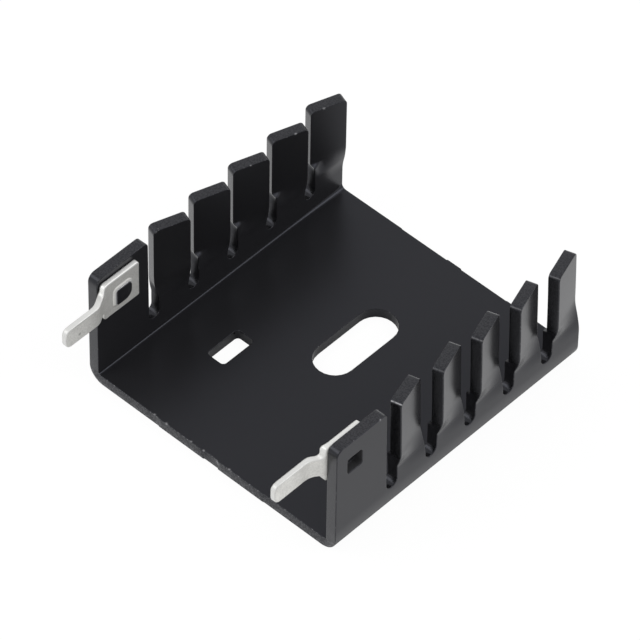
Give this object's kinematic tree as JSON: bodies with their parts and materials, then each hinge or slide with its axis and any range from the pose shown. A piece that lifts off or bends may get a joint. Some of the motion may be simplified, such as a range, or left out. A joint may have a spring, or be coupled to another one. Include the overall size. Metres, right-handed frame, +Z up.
{
  "type": "stamped heat sink with twisted fins",
  "caption": "Stamped channel heat sink for a power transistor, black anodised, with twisted fins along both walls and a tinned solder tab staked to each wall.",
  "frame": {"origin": "middle of the body's footprint, on the underside of the base", "axes": "+X across the channel towards the right wall, seen from the pins' end; +Y along the channel, away from the pins; +Z up out of the open channel"},
  "size_m": [0.0308, 0.0374, 0.0133],
  "materials": {
    "black_anodised_aluminium": "black anodised, semi-gloss",
    "tinned_metal": "matt tin plate"
  },
  "bodies": {
    "root": {"heat_sink_body": "black_anodised_aluminium", "solder_tab_left": "tinned_metal", "solder_tab_right": "tinned_metal"}
  },
  "joints": []
}
